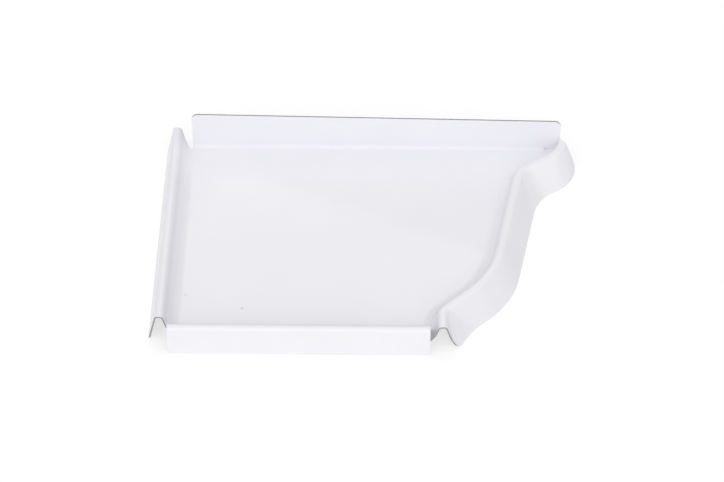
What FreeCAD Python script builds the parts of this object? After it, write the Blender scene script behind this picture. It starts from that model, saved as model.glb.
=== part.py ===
import FreeCAD, Part
import math
import os
import Sketcher

# Gutter end cap for a K-style gutter: one stamped sheet, lying with its outer face up.
# X runs from the gutter's back to its front, Y from its bottom to its top, Z is the outward face.
# Plan positions are measured from the crest lines of the back rim and the bottom rim.
# Lengths are millimetres and angles are degrees.

NODE = "end_cap"

DRIVING = {
    # the sheet and the shared rim section
    "sheet": 0.5,
    "rim_depth": 9.6,
    "rim_rise": 5.3,
    "crest_half": 1.2,
    "inner_lean": 20.0,
    "outer_round": 1.15,
    "inner_round": 1.4,
    "web_round": 4.5,
    # how far each outer leg leans out
    "back_splay": 14.0,
    "bottom_splay": 8.0,
    "riser_splay": 18.1,
    "diagonal_splay": 29.7,
    "steep_splay": 29.9,
    "under_splay": 31.5,
    "lip_splay": 16.6,
    # the gutter's profile: its base, then the runs of the front rim's crest line from the bottom up
    "base_width": 86.7,
    "riser_rise": 8.1,
    "diagonal_run": 16.4,
    "diagonal_rise": 15.7,
    "steep_run": 9.5,
    "steep_rise": 48.2,
    "under_run": 15.1,
    "under_rise": 10.0,
    "lip_rise": 5.7,
    # bend radii of the front rim, at the crest line and at the free edge
    "heel_bend": 3.4,
    "knee_bend": 35.8,
    "throat_bend": 8.4,
    "lip_bend": 11.9,
    "heel_free_bend": 24.0,
    "knee_free_bend": 34.6,
    "throat_free_bend": 15.4,
    "lip_free_bend": 13.7,
    # where the rims end: the back past the fold, the bottom short of the heel, the front short of the fold
    "back_low_end": 3.6,
    "back_low_slant": 1.7,
    "back_high_reach": 3.4,
    "bottom_back_end": 2.8,
    "bottom_front_gap": 3.8,
    "front_low_end": 0.15,
    "front_low_slant": 1.0,
    "front_high_gap": 0.7,
    "lip_end_drop": 2.7,
    # the notch between the back rim and the top flange
    "notch_x": 4.3,
    "notch_relief": 0.3,
    "notch_round": 1.0,
    # rounds on the free corners of the outer legs
    "back_low_corner": 0.8,
    "back_high_corner": 2.0,
    "bottom_corner": 1.8,
    "front_low_corner": 2.6,
    "front_high_corner": 3.0,
    # the upright top flange: its gap is from the lip's crest line
    "fold_round": 1.2,
    "flange_back_end": 5.2,
    "flange_front_gap": 1.2,
    "flange_back_height": 13.8,
    "flange_front_height": 11.9,
    "flange_round": 2.2,
}

# runs of the front rim from the bottom up, and its corners with the runs that meet there;
# the last value is the side of each bend's centre: +1 outside the gutter, -1 inside it
FRONT_RUNS = ("riser", "diagonal", "steep", "under", "lip")
FRONT_CORNERS = {
    "heel": ("riser", "diagonal", 1),
    "knee": ("diagonal", "steep", -1),
    "throat": ("steep", "under", 1),
    "lip": ("under", "lip", -1),
}
LAYERS = ("skin", "core")

# what follows from the driving sizes; each formula is a cell of the same sheet
DERIVED = {
    "web_top": "rim_depth - rim_rise",
    "web_under": "web_top - sheet",
    "lean_run": "rim_rise * tan(inner_lean)",
    "lean_step": "sheet * tan(inner_lean)",
    "lean_slant": "sheet / cos(inner_lean)",
    # how far joined pieces run into each other, and strips run past their ends
    "overlap": "sheet",
    "spare": "5 * sheet",
    # how far a cut runs to pass through a whole rim
    "through": "2 * rim_depth",
    # from a crest line to the flat web, and to the edge of the rim's strip
    "foot_run": "crest_half + lean_run + web_round * tan((90 - inner_lean) / 2)",
    "web_lap": "foot_run + 2 * overlap",
    # corners of the front crest line
    "heel_x": "base_width",
    "heel_y": "riser_rise",
    "knee_x": "heel_x + diagonal_run",
    "knee_y": "heel_y + diagonal_rise",
    "throat_x": "knee_x + steep_run",
    "throat_y": "knee_y + steep_rise",
    "lip_x": "throat_x + under_run",
    "lip_y": "throat_y + under_rise",
    # the fold, and where the rims and the flange end
    "fold_y": "lip_y + lip_rise",
    "fold_start": "fold_y - fold_round",
    "notch_y": "fold_start - notch_relief",
    "back_low_tip": "back_low_end - back_low_slant",
    "back_high_end": "fold_y + back_high_reach",
    "bottom_front_end": "heel_x - bottom_front_gap",
    "front_low_tip": "front_low_end - front_low_slant",
    "front_high_end": "fold_y - front_high_gap",
    "front_leg_end": "front_high_end - lip_end_drop",
    "fold_front_end": "lip_x - foot_run",
    "flange_front_end": "lip_x - flange_front_gap",
    # the front rim is built as the solid under its upper face (skin) less the one under its lower face (core)
    "skin_crest_level": "rim_depth",
    "core_crest_level": "rim_depth - sheet",
    "skin_floor_level": "web_top",
    "core_floor_level": "web_under",
    "skin_recess_offset": "-crest_half",
    "core_recess_offset": "-crest_half - lean_step + lean_slant",
    "skin_floor_offset": "-crest_half - lean_run",
    "core_floor_offset": "-crest_half - lean_run - lean_step + lean_slant",
    "skin_outer_round": "outer_round",
    "core_outer_round": "outer_round - sheet",
    "skin_inner_round": "inner_round",
    "core_inner_round": "inner_round - sheet",
    "skin_web_round": "web_round",
    "core_web_round": "web_round + sheet",
    "skin_lap": "-web_lap",
    "core_lap": "-web_lap - overlap",
    "skin_low": "front_low_end - spare - heel_free_bend / 2",
    "core_low": "skin_low - overlap",
    "skin_high": "front_high_end + spare",
    "core_high": "skin_high + overlap",
    # directions square to the front rim's runs; the riser and the lip stand upright in plan
    "riser_out_x": "1",
    "riser_out_y": "0",
    "lip_out_x": "1",
    "lip_out_y": "0",
}
for run in ("diagonal", "steep", "under"):
    DERIVED[run + "_length"] = "hypot({0}_run; {0}_rise)".format(run)
    DERIVED[run + "_out_x"] = "{0}_rise / {0}_length".format(run)
    DERIVED[run + "_out_y"] = "-{0}_run / {0}_length".format(run)

# how far the sheet's two faces lie out from the crest line on each run
for run in FRONT_RUNS:
    DERIVED["skin_crest_" + run] = "crest_half"
    DERIVED["core_crest_" + run] = "crest_half + sheet * tan({0}_splay) - sheet / cos({0}_splay)".format(run)
    DERIVED["skin_free_" + run] = "crest_half + rim_depth * tan(%s_splay)" % run
    DERIVED["core_free_" + run] = "skin_free_{0} - sheet / cos({0}_splay)".format(run)

# how sharply the runs turn at each corner, and the bend radii of the sheet's two faces
for corner, (before, after, side) in FRONT_CORNERS.items():
    DERIVED[corner + "_turn"] = "{0}_out_x * {1}_out_y - {0}_out_y * {1}_out_x".format(before, after)
    wall = "(%d) * sheet / cos(steep_splay)" % side
    carried = "({0}_free_bend - skin_{0}_crest) * sheet / rim_depth".format(corner)
    DERIVED["skin_%s_crest" % corner] = "%s_bend - (%d) * crest_half" % (corner, side)
    DERIVED["core_%s_crest" % corner] = "skin_%s_crest + %s + %s" % (corner, carried, wall)
    DERIVED["skin_%s_free" % corner] = "%s_free_bend" % corner
    DERIVED["core_%s_free" % corner] = "%s_free_bend + %s" % (corner, wall)
    for layer in LAYERS:
        for level in ("recess", "floor"):
            bend = "%s_bend - (%d) * %s_%s_offset" % (corner, side, layer, level)
            DERIVED["%s_%s_%s" % (layer, corner, level)] = bend

# sizes that differ by less than this are taken as equal
TOLERANCE = 1e-4
# upward part of a leaning face's normal: upright faces lie under the first value, flat ones over the second
LEANING_TILT = (0.02, 0.98)

# Outlines of the sketches: each corner is (x, y, bend radius or None), as formulas of the sheet.


def front_side(offsets, low, high, bends):
    """Corners of the front rim's line moved out by the runs' offsets, from its low end to its high end."""
    out = dict(zip(FRONT_RUNS, offsets))
    side = [("heel_x + " + offsets[0], low, None)]
    for (corner, (before, after, _)), bend in zip(FRONT_CORNERS.items(), bends):
        move = (corner, out[before], after, out[after], before)
        x = "{0}_x + (({1}) * {2}_out_y - ({3}) * {4}_out_y) / {0}_turn".format(*move)
        y = "{0}_y - (({1}) * {2}_out_x - ({3}) * {4}_out_x) / {0}_turn".format(*move)
        side.append((x, y, bend))
    return side + [("lip_x + " + offsets[-1], high, None)]


def web_side(offset, low, high):
    """The front rim's line moved into the web, with its knee bent and its other corners sharp."""
    bends = [None, "knee_bend + (%s)" % offset, None, None]
    return front_side([offset] * len(FRONT_RUNS), low, high, bends)


def front_strip(offsets, bends, lap, low, high):
    """A strip between the front rim's line at some offsets and a line inside the web."""
    return front_side(offsets, low, high, bends) + web_side(lap, low, high)[::-1]


def rim_section(splay):
    """Section of a straight rim, with its outer leg towards minus."""
    run = "tan(%s)" % splay
    slant = "sheet / cos(%s)" % splay
    return [
        ("web_lap", "web_under", None),
        ("web_lap", "web_top", None),
        ("crest_half + lean_run", "web_top", "web_round"),
        ("crest_half", "rim_depth", "inner_round"),
        ("-crest_half", "rim_depth", "outer_round"),
        ("-crest_half - rim_depth * %s" % run, "0", None),
        ("-crest_half - rim_depth * %s + %s" % (run, slant), "0", None),
        ("-crest_half - sheet * %s + %s" % (run, slant), "rim_depth - sheet", "outer_round - sheet"),
        ("crest_half + lean_step - lean_slant", "rim_depth - sheet", "inner_round - sheet"),
        ("crest_half + lean_run + lean_step - lean_slant", "web_under", "web_round + sheet"),
    ]


def end_round(end, into, radius):
    """What is cut off to round the free corner of a leg that ends at a place and runs that way."""
    return [
        ("%s - (%d) * overlap" % (end, into), "-overlap", None),
        ("%s + (%d) * (%s + overlap)" % (end, into, radius), "-overlap", None),
        ("%s + (%d) * (%s + overlap)" % (end, into, radius), "0", None),
        (end, "0", radius),
        (end, "%s + overlap" % radius, None),
        ("%s - (%d) * overlap" % (end, into), "%s + overlap" % radius, None),
    ]


OUTLINES = {
    "back_section": rim_section("back_splay"),
    "bottom_section": rim_section("bottom_splay"),
    "front_low_round": end_round("front_low_end", 1, "front_low_corner"),
    "front_high_round": end_round("front_leg_end", -1, "front_high_corner"),
}
for layer in LAYERS:
    ends = [layer + end for end in ("_lap", "_low", "_high")]
    past_ends = (ends[0] + " - overlap", ends[1] + " - overlap", ends[2] + " + overlap")
    for level in ("crest", "free"):
        offsets = ["%s_%s_%s" % (layer, level, run) for run in FRONT_RUNS]
        bends = ["%s_%s_%s" % (layer, corner, level) for corner in FRONT_CORNERS]
        OUTLINES["%s_%s" % (layer, level)] = front_strip(offsets, bends, *ends)
    for level in ("recess", "floor"):
        offsets = ["%s_%s_offset" % (layer, level)] * len(FRONT_RUNS)
        bends = ["%s_%s_%s" % (layer, corner, level) for corner in FRONT_CORNERS]
        OUTLINES["%s_%s" % (layer, level)] = front_strip(offsets, bends, *past_ends)

# the front rim's slanted low end, and its mitre with the bottom rim
OUTLINES["front_low_trim"] = [
    ("heel_x - web_lap - spare", "skin_low - spare", None),
    ("lip_x", "skin_low - spare", None),
    ("lip_x", "front_low_end", None),
    ("heel_x - crest_half", "front_low_end", None),
    ("bottom_front_end", "front_low_tip", None),
    ("bottom_front_end", "heel_x - bottom_front_end", None),
    ("heel_x - web_lap - spare", "web_lap + spare", None),
]
# the front rim's slanted high end, and the part of its strip that the fold takes up
OUTLINES["front_high_trim"] = [
    ("throat_x - web_lap", "fold_start", None),
    ("fold_front_end", "fold_start", None),
    ("fold_front_end", "fold_y + sheet / 2", None),
    ("flange_front_end", "fold_y + sheet / 2", None),
    ("flange_front_end", "front_high_end", None),
    ("lip_x + crest_half", "front_leg_end", None),
    ("lip_x + through", "front_leg_end", None),
    ("lip_x + through", "skin_high + spare", None),
    ("throat_x - web_lap", "skin_high + spare", None),
]
# the back rim's slanted low end, and its mitre with the bottom rim
OUTLINES["back_low_trim"] = [
    ("-crest_half - rim_depth", "-2 * spare", None),
    ("web_lap + spare", "-2 * spare", None),
    ("web_lap + spare", "web_lap + spare", None),
    ("bottom_back_end", "bottom_back_end", None),
    ("bottom_back_end", "back_low_tip", None),
    ("crest_half", "back_low_end", None),
    ("-crest_half - rim_depth", "back_low_end", None),
]
# the bottom rim's mitres with the back rim and the front rim
OUTLINES["bottom_trim"] = [
    ("bottom_back_end - spare", "bottom_back_end", None),
    ("bottom_back_end", "bottom_back_end", None),
    ("web_lap + spare", "web_lap + spare", None),
    ("heel_x - web_lap - spare", "web_lap + spare", None),
    ("bottom_front_end", "heel_x - bottom_front_end", None),
    ("bottom_front_end + spare", "heel_x - bottom_front_end", None),
    ("bottom_front_end + spare", "web_lap + 2 * spare", None),
    ("bottom_back_end - spare", "web_lap + 2 * spare", None),
]
# the notch between the back rim's high end and the top flange
OUTLINES["back_notch"] = [
    ("crest_half + sheet", "back_high_end", None),
    ("notch_x", "notch_y", "notch_round"),
    ("flange_back_end", "notch_y", None),
    ("flange_back_end", "fold_start", None),
    ("web_lap + overlap", "fold_start", None),
    ("web_lap + overlap", "back_high_end + overlap", None),
    ("crest_half + sheet", "back_high_end + overlap", None),
]
OUTLINES["web_plan"] = web_side("overlap - web_lap", "web_lap - overlap", "fold_start") + [
    ("web_lap - overlap", "fold_start", None),
    ("web_lap - overlap", "web_lap - overlap", None),
]
OUTLINES["fold_section"] = [
    ("fold_start - overlap", "web_under", None),
    ("fold_y + sheet", "web_under", "fold_round + sheet"),
    ("fold_y + sheet", "web_top + fold_round + overlap", None),
    ("fold_y", "web_top + fold_round + overlap", None),
    ("fold_y", "web_top", "fold_round"),
    ("fold_start - overlap", "web_top", None),
]
OUTLINES["flange_plan"] = [
    ("flange_back_end", "web_top + fold_round", None),
    ("fold_front_end", "web_top + fold_round", None),
    ("fold_front_end", "web_under", None),
    ("flange_front_end", "web_under", None),
    ("flange_front_end", "web_top + flange_front_height", "flange_round"),
    ("flange_back_end", "web_top + flange_back_height", "flange_round"),
]

doc = FreeCAD.newDocument("GutterEndCap")
sizes = doc.addObject("Spreadsheet::Sheet", "Sizes")


def sheet_cells():
    """Every named value and formula, in the order of the sheet's rows."""
    cells = [(alias, str(value)) for alias, value in DRIVING.items()]
    cells += [(alias, "=" + formula) for alias, formula in DERIVED.items()]
    for name, corners in OUTLINES.items():
        for number, corner in enumerate(corners):
            for part, formula in zip(("x", "y", "bend"), corner):
                if formula:
                    cells.append(("%s_%d_%s" % (name, number, part), "=" + formula))
    return cells


for row, (alias, content) in enumerate(sheet_cells(), start=1):
    sizes.set("A%d" % row, alias)
    sizes.set("B%d" % row, content)
    sizes.setAlias("B%d" % row, alias)
doc.recompute()


def now(alias):
    """The sheet's value under that name."""
    return float(sizes.get(alias))


def unit(start, end):
    """Unit vector from one point to another."""
    step = end - start
    return step.multiply(1.0 / step.Length)


def bend_ends(before, corner, after, radius):
    """Tangent points and centre of the arc that rounds a corner."""
    back = unit(corner, before)
    ahead = unit(corner, after)
    half_cos = math.sqrt((1.0 + back.dot(ahead)) / 2.0)
    half_sin = math.sqrt((1.0 - back.dot(ahead)) / 2.0)
    reach = radius * half_cos / half_sin
    centre = corner + unit(FreeCAD.Vector(), back + ahead) * (radius / half_sin)
    return corner + back * reach, corner + ahead * reach, centre


def hold(sketch, constraint, cell):
    """Add a constraint whose size is read from a cell."""
    number = sketch.addConstraint(constraint)
    sketch.setExpression("Constraints[%d]" % number, "Sizes." + cell)


def add_bend(sketch, sides, left_turn, corner, ends, cell):
    """Round one corner with a tangent arc; give the point where its two sides would meet."""
    before, after = sides
    arrive, leave, centre = ends
    first, last = (arrive, leave) if left_turn else (leave, arrive)
    near, far = (1, 2) if left_turn else (2, 1)
    angles = [math.atan2(point.y - centre.y, point.x - centre.x) for point in (first, last)]
    circle = Part.Circle(centre, FreeCAD.Vector(0, 0, 1), (first - centre).Length)
    arc = sketch.addGeometry(Part.ArcOfCircle(circle, *angles), False)
    marker = sketch.addGeometry(Part.Point(corner), True)
    sketch.addConstraint(Sketcher.Constraint("Tangent", before, 2, arc, near))
    sketch.addConstraint(Sketcher.Constraint("Tangent", arc, far, after, 1))
    for side in sides:
        sketch.addConstraint(Sketcher.Constraint("PointOnObject", marker, 1, side))
    hold(sketch, Sketcher.Constraint("Radius", arc, circle.Radius), cell)
    return marker


def outline(body, name, role, level):
    """A closed sketch on one of the body's origin planes; each coordinate and radius is a cell of the sheet."""
    corners = OUTLINES[name]
    count = len(corners)
    points = []
    for number in range(count):
        points.append(FreeCAD.Vector(now("%s_%d_x" % (name, number)), now("%s_%d_y" % (name, number)), 0.0))
    sketch = body.newObject("Sketcher::SketchObject", name)
    planes = {feature.Role: feature for feature in body.Origin.OriginFeatures}
    sketch.AttachmentSupport = (planes[role], [""])
    sketch.MapMode = "FlatFace"
    sketch.setExpression("AttachmentOffset.Base.z", level)
    bends = {}
    for number, corner in enumerate(corners):
        bends[number] = (points[number], points[number], None)
        if corner[2]:
            radius = now("%s_%d_bend" % (name, number))
            bends[number] = bend_ends(points[number - 1], points[number], points[(number + 1) % count], radius)
    for number in range(count):
        sketch.addGeometry(Part.LineSegment(bends[number][1], bends[(number + 1) % count][0]), False)
    for number, point in enumerate(points):
        sides = ((number - 1) % count, number)
        pinned = number
        if corners[number][2]:
            turn = (point - points[number - 1]).cross(points[(number + 1) % count] - point).z
            pinned = add_bend(sketch, sides, turn > 0, point, bends[number], "%s_%d_bend" % (name, number))
        else:
            sketch.addConstraint(Sketcher.Constraint("Coincident", sides[0], 2, sides[1], 1))
        hold(sketch, Sketcher.Constraint("DistanceX", -1, 1, pinned, 1, point.x), "%s_%d_x" % (name, number))
        hold(sketch, Sketcher.Constraint("DistanceY", -1, 1, pinned, 1, point.y), "%s_%d_y" % (name, number))
    doc.recompute()
    return sketch


def leaning(face):
    """True for a face that is neither flat nor upright."""
    first, last, low, high = face.ParameterRange
    tilt = abs(face.normalAt((first + last) / 2, (low + high) / 2).z)
    upright, flat = LEANING_TILT
    return upright < tilt < flat


def leg_edges(shape, level, foot):
    """Names of the edges at one level that border a leaning leg whose foot is at another."""
    names = []
    for number, edge in enumerate(shape.Edges, start=1):
        if any(abs(vertex.Z - level) > TOLERANCE for vertex in edge.Vertexes):
            continue
        faces = shape.ancestorsOfType(edge, Part.Face)
        if any(leaning(face) and abs(face.BoundBox.ZMin - foot) < TOLERANCE for face in faces):
            names.append("Edge%d" % number)
    return names


def end_edges(shape, axis, place):
    """Names of the short edges at the foot of a leg's end face."""
    names = []
    for number, edge in enumerate(shape.Edges, start=1):
        low = all(abs(vertex.Z) < TOLERANCE for vertex in edge.Vertexes)
        there = all(abs(getattr(vertex, axis) - place) < TOLERANCE for vertex in edge.Vertexes)
        if low and there:
            names.append("Edge%d" % number)
    return names


def fillet(body, name, edges, radius):
    """Round named edges of the body's last feature."""
    feature = body.newObject("PartDesign::Fillet", name)
    feature.Base = (feature.BaseFeature or body.Tip, edges)
    feature.setExpression("Radius", "Sizes." + radius)
    doc.recompute()


def loft(body, name, kind, first, second):
    """A ruled loft between two sketches."""
    feature = body.newObject("PartDesign::" + kind, name)
    feature.Profile = first
    feature.Sections = [second]
    feature.Ruled = True
    doc.recompute()


def pad(body, name, sketch, length, backwards):
    """Pad a sketch by a length from the sheet."""
    feature = body.newObject("PartDesign::Pad", name)
    feature.Profile = sketch
    feature.setExpression("Length", length)
    feature.Reversed = backwards
    doc.recompute()


def pocket(body, name, sketch, length):
    """Cut a sketch up from its plane by a length from the sheet."""
    before = body.Shape.Volume
    feature = body.newObject("PartDesign::Pocket", name)
    feature.Profile = sketch
    feature.setExpression("Length", length)
    feature.Reversed = True
    doc.recompute()
    if feature.Shape.Volume >= before - TOLERANCE:
        raise RuntimeError(name + " cuts nothing")


def join(body, name, other, kind):
    """Fuse another body into this one, or cut it away."""
    feature = body.newObject("PartDesign::Boolean", name)
    feature.setObjects([other])
    feature.Type = kind
    doc.recompute()


def front_solid(body, layer):
    """The front rim as a full solid under one face of the sheet."""
    crest_level = layer + "_crest_level"
    floor_level = layer + "_floor_level"
    crest = outline(body, layer + "_crest", "XY_Plane", "Sizes." + crest_level)
    free = outline(body, layer + "_free", "XY_Plane", "0")
    loft(body, layer + "_solid", "AdditiveLoft", crest, free)
    recess = outline(body, layer + "_recess", "XY_Plane", "Sizes." + crest_level)
    floor = outline(body, layer + "_floor", "XY_Plane", "Sizes." + floor_level)
    loft(body, layer + "_hollow", "SubtractiveLoft", recess, floor)
    crest_z = now(crest_level)
    floor_z = now(floor_level)
    fillet(body, layer + "_crest_inside", leg_edges(body.Shape, crest_z, floor_z), layer + "_inner_round")
    fillet(body, layer + "_crest_outside", leg_edges(body.Shape, crest_z, 0.0), layer + "_outer_round")
    fillet(body, layer + "_web_bend", leg_edges(body.Shape, floor_z, floor_z), layer + "_web_round")


# the bottom rim
bottom = doc.addObject("PartDesign::Body", "bottom_rim")
bottom_sketch = outline(bottom, "bottom_section", "YZ_Plane", "Sizes.bottom_back_end")
pad(bottom, "bottom_strip", bottom_sketch, "Sizes.bottom_front_end - Sizes.bottom_back_end", False)
pocket(bottom, "bottom_mitres", outline(bottom, "bottom_trim", "XY_Plane", "0"), "Sizes.through")

# the front rim, cut to length
core = doc.addObject("PartDesign::Body", "front_core")
front_solid(core, "core")
cap = doc.addObject("PartDesign::Body", NODE)
front_solid(cap, "skin")
join(cap, "front_sheet", core, "Cut")
for name in ("front_low_trim", "front_high_trim"):
    pocket(cap, name + "_cut", outline(cap, name, "XY_Plane", "0"), "Sizes.through")

# the back rim, cut to length, with its notch
back_sketch = outline(cap, "back_section", "XZ_Plane", "Sizes.spare")
pad(cap, "back_rim", back_sketch, "Sizes.back_high_end + Sizes.spare", True)
for name in ("back_low_trim", "back_notch"):
    pocket(cap, name + "_cut", outline(cap, name, "XY_Plane", "0"), "Sizes.through")
join(cap, "bottom_joint", bottom, "Fuse")

# the flat web, the fold and the upright top flange
pad(cap, "web", outline(cap, "web_plan", "XY_Plane", "Sizes.web_under"), "Sizes.sheet", False)
fold_sketch = outline(cap, "fold_section", "YZ_Plane", "Sizes.flange_back_end")
pad(cap, "fold", fold_sketch, "Sizes.fold_front_end - Sizes.flange_back_end", False)
pad(cap, "flange", outline(cap, "flange_plan", "XZ_Plane", "-Sizes.fold_y"), "Sizes.sheet", True)

# rounded free corners of the outer legs
fillet(cap, "bottom_back_corner", end_edges(cap.Shape, "X", now("bottom_back_end")), "bottom_corner")
fillet(cap, "bottom_front_corner", end_edges(cap.Shape, "X", now("bottom_front_end")), "bottom_corner")
fillet(cap, "back_low_corner_round", end_edges(cap.Shape, "Y", now("back_low_end")), "back_low_corner")
fillet(cap, "back_high_corner_round", end_edges(cap.Shape, "Y", now("back_high_end")), "back_high_corner")
for name, place in (("front_low_round", "heel_x"), ("front_high_round", "lip_x")):
    pocket(cap, name + "_cut", outline(cap, name, "YZ_Plane", "Sizes." + place), "Sizes.through")

# the origin is the middle of the cap's box, at the free edges
box = cap.Shape.optimalBoundingBox()
cap.Placement.Base = FreeCAD.Vector(-(box.XMin + box.XMax) / 2, -(box.YMin + box.YMax) / 2, -box.ZMin)
doc.recompute()

for item in doc.Objects:
    if "Invalid" in item.State or "Error" in item.State:
        raise RuntimeError(item.Name + " is not sound")
if cap.Shape.isNull() or not cap.Shape.isValid() or len(cap.Shape.Solids) != 1:
    raise RuntimeError("the cap is not one sound solid")

os.makedirs("parts", exist_ok=True)
cap.Label = NODE
cap.Shape.exportStep("parts/%s.step" % NODE)
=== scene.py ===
import math

import bmesh
import bpy
from mathutils import Matrix, Vector


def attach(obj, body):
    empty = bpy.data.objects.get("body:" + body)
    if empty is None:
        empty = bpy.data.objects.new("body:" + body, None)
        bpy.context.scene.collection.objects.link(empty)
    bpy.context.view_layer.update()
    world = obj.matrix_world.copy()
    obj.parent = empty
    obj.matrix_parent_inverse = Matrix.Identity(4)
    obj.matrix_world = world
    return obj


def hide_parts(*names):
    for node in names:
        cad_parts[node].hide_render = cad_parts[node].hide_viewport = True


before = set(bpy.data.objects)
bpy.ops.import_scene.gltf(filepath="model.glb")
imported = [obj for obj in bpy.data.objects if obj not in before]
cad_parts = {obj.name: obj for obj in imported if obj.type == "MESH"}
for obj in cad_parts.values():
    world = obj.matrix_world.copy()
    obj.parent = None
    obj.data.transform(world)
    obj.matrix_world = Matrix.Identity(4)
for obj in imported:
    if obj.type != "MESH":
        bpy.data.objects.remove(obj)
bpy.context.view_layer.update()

# Gutter end cap: one stamped sheet of white coil-coated aluminium with bare metal at its cut edges.
# Lengths are metres and angles are degrees.

NODE = "end_cap"
SHEET = 0.0005
# faces that meet at less than the first angle belong to one smooth patch, at less than the second to one flat
SMOOTH_ANGLE = 18.0
FLAT_ANGLE = 0.3
# a cut edge has less area than this share of its outline times the sheet, and more than the smallest area
EDGE_SHARE = 0.62
EDGE_AREA = 0.000002
# corners closer than this are one corner
WELD = 0.000001
# material slots of the dressed sheet
PAINTED = 0
BARE = 1

# the range where most of a noise texture's values lie, and its usual roughness
NOISE_LOW = 0.3
NOISE_HIGH = 0.7
NOISE_ROUGHNESS = 0.5

# the paint: faint clouds of colour under a clear gloss, the slow waves of the sheet and the fine orange peel
PAINT_DEEP = (0.848, 0.844, 0.886)
PAINT_PALE = (0.864, 0.861, 0.900)
PAINT_ROUGHNESS = 0.5
CLOUD_SCALE = 45.0
CLOUD_DETAIL = 3.0
COAT_WEIGHT = 0.6
COAT_SMOOTH = 0.03
COAT_ROUGH = 0.05
COAT_SCALE = 900.0
COAT_DETAIL = 2.0
WAVE_SCALE = 28.0
WAVE_HEIGHT = 0.00005
WAVE_STRENGTH = 0.12
PEEL_SCALE = 700.0
PEEL_HEIGHT = 0.000001
PEEL_STRENGTH = 0.5
BUMP_DETAIL = 1.0

# two specks in the paint of the web: their places and how strong they are
SPECKS = (((-0.0391, -0.0315, 0.0043), 0.45), ((-0.0569, -0.0258, 0.0043), 0.22))
SPECK_REACH = 0.0006
SPECK_GREY = (0.2, 0.2, 0.22)

# the bare metal: fine shear marks with darker and lighter, smoother and rougher parts; both colours are also
# darkened as painted shade, standing for the shadow in the gap under the cut edges
SHADED_METAL_DEEP = (0.26, 0.26, 0.27)
SHADED_METAL_PALE = (0.46, 0.46, 0.48)
METAL_SMOOTH = 0.38
METAL_ROUGH = 0.55
MARK_SCALE = 2600.0
MARK_DETAIL = 3.0
MARK_ROUGHNESS = 0.6
MARK_HEIGHT = 0.00001
MARK_STRENGTH = 0.6

# the camera, looking down at the outer face
TARGET = Vector((-0.0023266, -0.0066754, 0.0096))
DISTANCE = 0.7403
ELEVATION = 43.95
YAW = 0.545
ROLL = 0.082
FOCAL_PIXELS = 2353.0
IMAGE_WIDTH = 724
SENSOR_WIDTH = 36.0
CLIP_NEAR = 0.01
CLIP_FAR = 50.0

WHITE = (1.0, 1.0, 1.0, 1.0)
# the floor: half its side, how far it lies under the cap, its true grey, and the grey and glow that it shows
FLOOR_HALF = 6.0
FLOOR_DROP = 0.00002
FLOOR_GREY = (0.86, 0.86, 0.86, 1.0)
SEEN_GREY = (0.38, 0.38, 0.38, 1.0)
SEEN_GLOW = 0.66
# the room's light: an even part, and how much brighter it gets straight towards each side
ROOM_EVEN = 0.1
ROOM_SIDES = {
    "front": ((0.0, -1.0, 0.0), 1.155),
    "left": ((-1.0, 0.0, 0.0), 0.13),
    "top": ((0.0, 0.0, 1.0), 0.82),
}
# the softbox that is mirrored in the web: its place, size, turn about its own axis and brightness
PANEL_PLACE = (0.066, 1.0, 1.229)
PANEL_WIDTH = 0.66
PANEL_HEIGHT = 0.36
PANEL_TURN = -16.0
PANEL_RADIANCE = 1.2

scene = bpy.context.scene
scene.view_settings.view_transform = "Standard"


def make_camera():
    """The camera at the fitted place, turned by its yaw, elevation and roll."""
    rise = math.radians(ELEVATION)
    turn = math.radians(YAW)
    lean = math.radians(ROLL)
    back = Vector((math.sin(turn) * math.cos(rise), -math.cos(turn) * math.cos(rise), math.sin(rise)))
    level = Vector((math.cos(turn), math.sin(turn), 0.0))
    up = back.cross(level)
    right = level * math.cos(lean) + up * math.sin(lean)
    up = up * math.cos(lean) - level * math.sin(lean)
    data = bpy.data.cameras.new("camera")
    data.sensor_fit = "HORIZONTAL"
    data.sensor_width = SENSOR_WIDTH
    data.lens = FOCAL_PIXELS / IMAGE_WIDTH * SENSOR_WIDTH
    data.clip_start = CLIP_NEAR
    data.clip_end = CLIP_FAR
    camera = bpy.data.objects.new("camera", data)
    turned = Matrix((right, up, back)).transposed().to_4x4()
    camera.matrix_world = Matrix.Translation(TARGET + back * DISTANCE) @ turned
    scene.collection.objects.link(camera)
    scene.camera = camera


def node_tree(material):
    """An emptied node tree with its output."""
    material.use_nodes = True
    tree = material.node_tree
    tree.nodes.clear()
    output = tree.nodes.new("ShaderNodeOutputMaterial")
    return tree, output


def noise(tree, place, scale, detail, roughness=NOISE_ROUGHNESS):
    """A noise texture in object space."""
    texture = tree.nodes.new("ShaderNodeTexNoise")
    texture.inputs["Scale"].default_value = scale
    texture.inputs["Detail"].default_value = detail
    texture.inputs["Roughness"].default_value = roughness
    tree.links.new(place, texture.inputs["Vector"])
    return texture.outputs["Fac"]


def spread(tree, value, low, high, new_low, new_high):
    """A value moved from one range to another."""
    mapper = tree.nodes.new("ShaderNodeMapRange")
    mapper.inputs["From Min"].default_value = low
    mapper.inputs["From Max"].default_value = high
    mapper.inputs["To Min"].default_value = new_low
    mapper.inputs["To Max"].default_value = new_high
    tree.links.new(value, mapper.inputs["Value"])
    return mapper.outputs["Result"]


def mix_colours(tree, share, first, second):
    """A mix of two colours by a share; the first can come from another node."""
    mixer = tree.nodes.new("ShaderNodeMix")
    mixer.data_type = "RGBA"
    tree.links.new(share, mixer.inputs["Factor"])
    if isinstance(first, tuple):
        mixer.inputs["A"].default_value = (*first, 1.0)
    else:
        tree.links.new(first, mixer.inputs["A"])
    mixer.inputs["B"].default_value = (*second, 1.0)
    return mixer.outputs["Result"]


def bump(tree, height, distance, strength, before=None):
    """A bump from a height, on top of an earlier one."""
    node = tree.nodes.new("ShaderNodeBump")
    node.inputs["Distance"].default_value = distance
    node.inputs["Strength"].default_value = strength
    tree.links.new(height, node.inputs["Height"])
    if before is not None:
        tree.links.new(before, node.inputs["Normal"])
    return node.outputs["Normal"]


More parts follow.
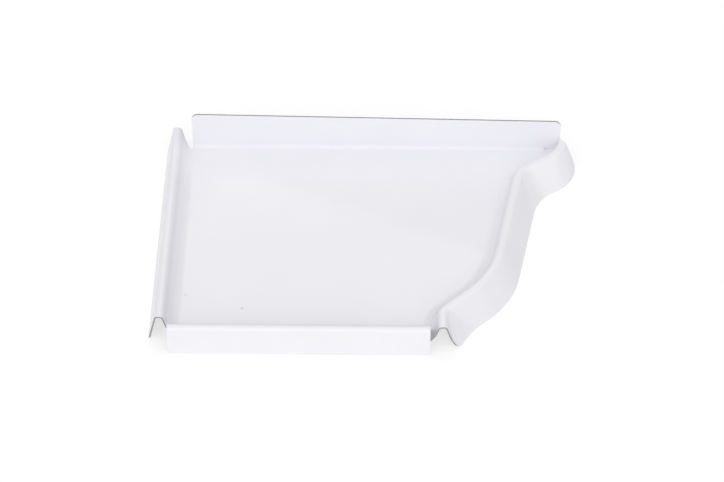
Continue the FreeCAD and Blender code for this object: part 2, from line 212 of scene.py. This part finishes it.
def with_specks(tree, place, colour):
    """A colour with the grey specks in it."""
    for spot, strength in SPECKS:
        away = tree.nodes.new("ShaderNodeVectorMath")
        away.operation = "DISTANCE"
        away.inputs[1].default_value = spot
        tree.links.new(place, away.inputs[0])
        speck = spread(tree, away.outputs["Value"], 0.0, SPECK_REACH, strength, 0.0)
        colour = mix_colours(tree, speck, colour, SPECK_GREY)
    return colour


def white_paint():
    """Semi-gloss white coil coating with a faint lavender cast, orange peel and slow waves of the sheet."""
    material = bpy.data.materials.new("white_coil_paint")
    tree, output = node_tree(material)
    place = tree.nodes.new("ShaderNodeTexCoord").outputs["Object"]
    paint = tree.nodes.new("ShaderNodeBsdfPrincipled")
    cloud = noise(tree, place, CLOUD_SCALE, CLOUD_DETAIL)
    share = spread(tree, cloud, NOISE_LOW, NOISE_HIGH, 0.0, 1.0)
    colour = with_specks(tree, place, mix_colours(tree, share, PAINT_DEEP, PAINT_PALE))
    tree.links.new(colour, paint.inputs["Base Color"])
    gloss = noise(tree, place, COAT_SCALE, COAT_DETAIL)
    gloss = spread(tree, gloss, NOISE_LOW, NOISE_HIGH, COAT_SMOOTH, COAT_ROUGH)
    tree.links.new(gloss, paint.inputs["Coat Roughness"])
    paint.inputs["Coat Weight"].default_value = COAT_WEIGHT
    paint.inputs["Specular IOR Level"].default_value = 0.0
    paint.inputs["Roughness"].default_value = PAINT_ROUGHNESS
    wave = bump(tree, noise(tree, place, WAVE_SCALE, BUMP_DETAIL), WAVE_HEIGHT, WAVE_STRENGTH)
    peel = bump(tree, noise(tree, place, PEEL_SCALE, BUMP_DETAIL), PEEL_HEIGHT, PEEL_STRENGTH, wave)
    tree.links.new(peel, paint.inputs["Normal"])
    tree.links.new(peel, paint.inputs["Coat Normal"])
    tree.links.new(paint.outputs["BSDF"], output.inputs["Surface"])
    return material


def bare_edge():
    """Sheared aluminium at the cut edges, with fine marks; its colour is darkened with painted shade for the
    shadow under the edges.
    """
    material = bpy.data.materials.new("cut_edge_aluminium_and_shade")
    tree, output = node_tree(material)
    place = tree.nodes.new("ShaderNodeTexCoord").outputs["Object"]
    metal = tree.nodes.new("ShaderNodeBsdfPrincipled")
    metal.inputs["Metallic"].default_value = 1.0
    marks = noise(tree, place, MARK_SCALE, MARK_DETAIL, MARK_ROUGHNESS)
    share = spread(tree, marks, NOISE_LOW, NOISE_HIGH, 0.0, 1.0)
    # painted shade: these edge colours are darker than bare aluminium, to stand for the shadow under the cut
    # edges
    colour = mix_colours(tree, share, SHADED_METAL_DEEP, SHADED_METAL_PALE)
    tree.links.new(colour, metal.inputs["Base Color"])
    rough = spread(tree, marks, NOISE_LOW, NOISE_HIGH, METAL_SMOOTH, METAL_ROUGH)
    tree.links.new(rough, metal.inputs["Roughness"])
    tree.links.new(bump(tree, marks, MARK_HEIGHT, MARK_STRENGTH), metal.inputs["Normal"])
    tree.links.new(metal.outputs["BSDF"], output.inputs["Surface"])
    return material


def weld(mesh):
    """Join the corners that lie at one place, so that faces know their neighbours."""
    work = bmesh.new()
    work.from_mesh(mesh)
    bmesh.ops.remove_doubles(work, verts=work.verts, dist=WELD)
    work.to_mesh(mesh)
    work.free()


def close_neighbours(mesh, angle):
    """For each face, the faces beside it that turn from it by less than an angle; and the faces by edge."""
    limit = math.cos(math.radians(angle))
    sharing = {}
    for face in mesh.polygons:
        for edge in face.edge_keys:
            sharing.setdefault(edge, []).append(face.index)
    neighbours = [[] for _ in mesh.polygons]
    for pair in sharing.values():
        if len(pair) != 2:
            continue
        first, second = pair
        if mesh.polygons[first].normal.dot(mesh.polygons[second].normal) > limit:
            neighbours[first].append(second)
            neighbours[second].append(first)
    return neighbours, sharing


def patches_of(neighbours):
    """Groups of faces that are joined from neighbour to neighbour."""
    waiting = set(range(len(neighbours)))
    patches = []
    while waiting:
        patch = [waiting.pop()]
        for face in patch:
            fresh = [other for other in neighbours[face] if other in waiting]
            waiting.difference_update(fresh)
            patch.extend(fresh)
        patches.append(patch)
    return patches


def outline_length(mesh, patch, sharing):
    """The length of the edges that a patch shares with other patches."""
    members = set(patch)
    length = 0.0
    for face in patch:
        for edge in mesh.polygons[face].edge_keys:
            if sum(other in members for other in sharing[edge]) == 1:
                first, second = (mesh.vertices[end].co for end in edge)
                length += (first - second).length
    return length


def cut_faces(mesh):
    """Numbers of the faces in patches about as narrow as the sheet is thick."""
    neighbours, sharing = close_neighbours(mesh, SMOOTH_ANGLE)
    found = set()
    for patch in patches_of(neighbours):
        area = sum(mesh.polygons[face].area for face in patch)
        if EDGE_AREA < area < outline_length(mesh, patch, sharing) * SHEET * EDGE_SHARE:
            found.update(patch)
    return found


def flat_areas(mesh):
    """For each face, the area of the whole flat that it is part of."""
    neighbours, _ = close_neighbours(mesh, FLAT_ANGLE)
    areas = [0.0] * len(mesh.polygons)
    for flat in patches_of(neighbours):
        whole = sum(mesh.polygons[face].area for face in flat)
        for face in flat:
            areas[face] = whole
    return areas


def soft_normals(mesh):
    """Corner normals weighted by the areas of the flats that meet there, so that flats stay flat."""
    limit = math.cos(math.radians(SMOOTH_ANGLE))
    areas = flat_areas(mesh)
    around = [[] for _ in mesh.vertices]
    for face in mesh.polygons:
        for vertex in face.vertices:
            around[vertex].append(face)
    normals = []
    for face in mesh.polygons:
        for vertex in face.vertices:
            total = Vector()
            for other in around[vertex]:
                if other.normal.dot(face.normal) > limit:
                    total += other.normal * areas[other.index]
            normals.append(total.normalized())
    return normals


def make_cap():
    """The dressed sheet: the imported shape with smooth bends, painted skins and bare cut edges."""
    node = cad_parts[NODE]
    mesh = node.data.copy()
    mesh.name = "cap_sheet"
    cap = bpy.data.objects.new("cap_sheet", mesh)
    scene.collection.objects.link(cap)
    mesh.materials.clear()
    mesh.materials.append(white_paint())
    mesh.materials.append(bare_edge())
    weld(mesh)
    bare = cut_faces(mesh)
    for face in mesh.polygons:
        face.use_smooth = True
        face.material_index = BARE if face.index in bare else PAINTED
    mesh.normals_split_custom_set(soft_normals(mesh))
    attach(cap, "root")
    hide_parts(NODE)


def seen_share(tree):
    """One for rays that show the background: from the camera, mirrored or through glass."""
    path = tree.nodes.new("ShaderNodeLightPath")
    share = path.outputs["Is Camera Ray"]
    for kind in ("Is Glossy Ray", "Is Transmission Ray"):
        either = tree.nodes.new("ShaderNodeMath")
        either.operation = "MAXIMUM"
        tree.links.new(share, either.inputs[0])
        tree.links.new(path.outputs[kind], either.inputs[1])
        share = either.outputs["Value"]
    return share


def matte(tree, colour):
    """A plain matte shader of one colour."""
    shader = tree.nodes.new("ShaderNodeBsdfDiffuse")
    shader.inputs["Color"].default_value = colour
    return shader.outputs["BSDF"]


def floor_white():
    """A pale matte floor that is seen as white where no shadow falls."""
    material = bpy.data.materials.new("floor_white")
    tree, output = node_tree(material)
    glow = tree.nodes.new("ShaderNodeEmission")
    glow.inputs["Strength"].default_value = SEEN_GLOW
    seen = tree.nodes.new("ShaderNodeAddShader")
    tree.links.new(matte(tree, SEEN_GREY), seen.inputs[0])
    tree.links.new(glow.outputs["Emission"], seen.inputs[1])
    chosen = tree.nodes.new("ShaderNodeMixShader")
    tree.links.new(seen_share(tree), chosen.inputs["Fac"])
    tree.links.new(matte(tree, FLOOR_GREY), chosen.inputs[1])
    tree.links.new(seen.outputs["Shader"], chosen.inputs[2])
    tree.links.new(chosen.outputs["Shader"], output.inputs["Surface"])
    return material


def make_floor():
    """A plain level floor, just under the cap."""
    half = FLOOR_HALF
    mesh = bpy.data.meshes.new("floor")
    corners = [(-half, -half, 0.0), (half, -half, 0.0), (half, half, 0.0), (-half, half, 0.0)]
    mesh.from_pydata(corners, [], [(0, 1, 2, 3)])
    mesh.materials.append(floor_white())
    floor = bpy.data.objects.new("floor", mesh)
    scene.collection.objects.link(floor)
    floor.location.z = -FLOOR_DROP


def side_light(tree, direction, side, level):
    """Light from one side of the room, strongest straight towards that side."""
    facing = tree.nodes.new("ShaderNodeVectorMath")
    facing.operation = "DOT_PRODUCT"
    facing.inputs[1].default_value = side
    tree.links.new(direction, facing.inputs[0])
    light = tree.nodes.new("ShaderNodeBackground")
    light.inputs["Color"].default_value = WHITE
    strength = spread(tree, facing.outputs["Value"], 0.0, 1.0, 0.0, level)
    tree.links.new(strength, light.inputs["Strength"])
    return light.outputs["Background"]


def make_world():
    """A pale room, brighter towards some sides."""
    world = bpy.data.worlds.new("room")
    scene.world = world
    world.use_nodes = True
    tree = world.node_tree
    tree.nodes.clear()
    output = tree.nodes.new("ShaderNodeOutputWorld")
    direction = tree.nodes.new("ShaderNodeTexCoord").outputs["Generated"]
    even = tree.nodes.new("ShaderNodeBackground")
    even.inputs["Color"].default_value = WHITE
    even.inputs["Strength"].default_value = ROOM_EVEN
    total = even.outputs["Background"]
    for side, level in ROOM_SIDES.values():
        both = tree.nodes.new("ShaderNodeAddShader")
        tree.links.new(total, both.inputs[0])
        tree.links.new(side_light(tree, direction, side, level), both.inputs[1])
        total = both.outputs["Shader"]
    tree.links.new(total, output.inputs["Surface"])


def softbox(name, place, width, height, turn, radiance):
    """A rectangular soft light that faces the object, turned about its own axis; the camera misses it."""
    data = bpy.data.lights.new(name, "AREA")
    data.shape = "RECTANGLE"
    data.size = width
    data.size_y = height
    data.energy = radiance * math.pi * width * height
    light = bpy.data.objects.new(name, data)
    scene.collection.objects.link(light)
    light.location = place
    facing = Vector(place).to_track_quat("Z", "Y").to_matrix()
    light.rotation_euler = (facing @ Matrix.Rotation(math.radians(turn), 3, "Z")).to_euler()
    light.visible_camera = False


make_camera()
make_cap()
make_floor()
make_world()
softbox("panel", PANEL_PLACE, PANEL_WIDTH, PANEL_HEIGHT, PANEL_TURN, PANEL_RADIANCE)

bpy.context.view_layer.update()
